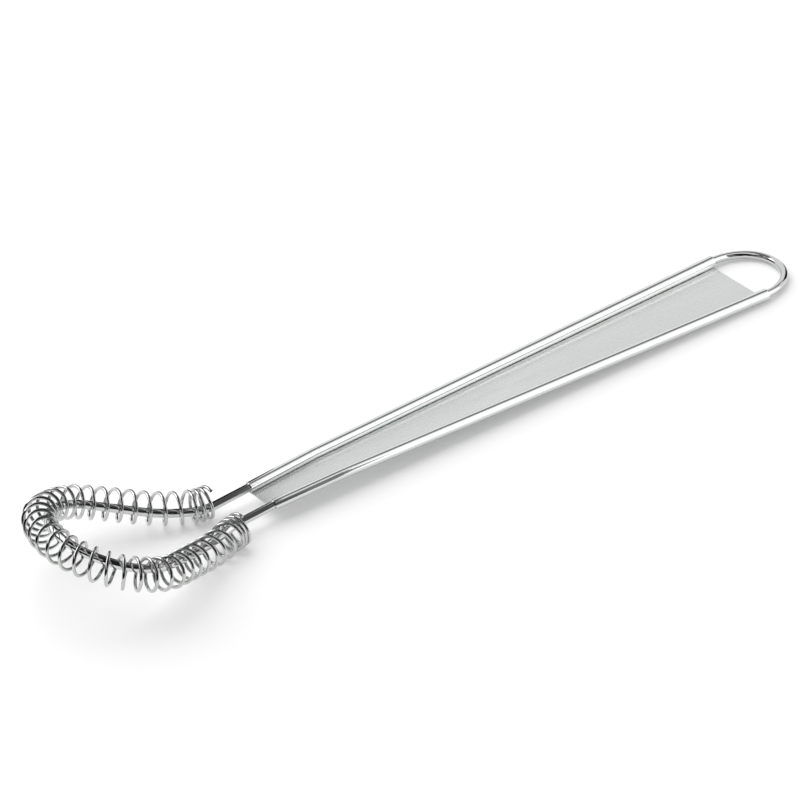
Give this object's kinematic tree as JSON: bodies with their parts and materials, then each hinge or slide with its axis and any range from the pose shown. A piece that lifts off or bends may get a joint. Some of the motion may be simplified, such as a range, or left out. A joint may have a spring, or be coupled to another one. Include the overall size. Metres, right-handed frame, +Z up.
{
  "type": "coil whisk",
  "caption": "Flat teardrop wire whisk with a loose coil on its loop, a tapered sheet handle with rolled edges, and a wire hanging loop.",
  "frame": {"origin": "bottom centre of the bounding box of the whisk laid down flat: z = 0 is the table that the coil and the handle's end rest on", "axes": "+X along the handle from the wire head to the hanging loop, +Y across it towards the far side in the picture, +Z up off the table and off the sheet's open, rolled face"},
  "size_m": [0.268, 0.0534, 0.0259],
  "materials": {
    "sheet_steel": "satin stainless sheet, brushed along the handle, with polished rolled edges",
    "wire_steel": "bright polished stainless wire",
    "coil_steel": "bright polished stainless spring wire"
  },
  "bodies": {
    "frame": {"handle_sheet": "sheet_steel", "loop_wire": "wire_steel", "hang_loop": "wire_steel"},
    "coil": {"coil_spring": "coil_steel"}
  },
  "joints": [
    {"name": "coil_rock", "type": "hinge", "parent": "frame", "child": "coil", "pos_m": [-0.07354, 0.00004, 0.00491], "axis": [0.9604, 0, -0.2785], "range_deg": [-1.5, 1.5]}
  ]
}
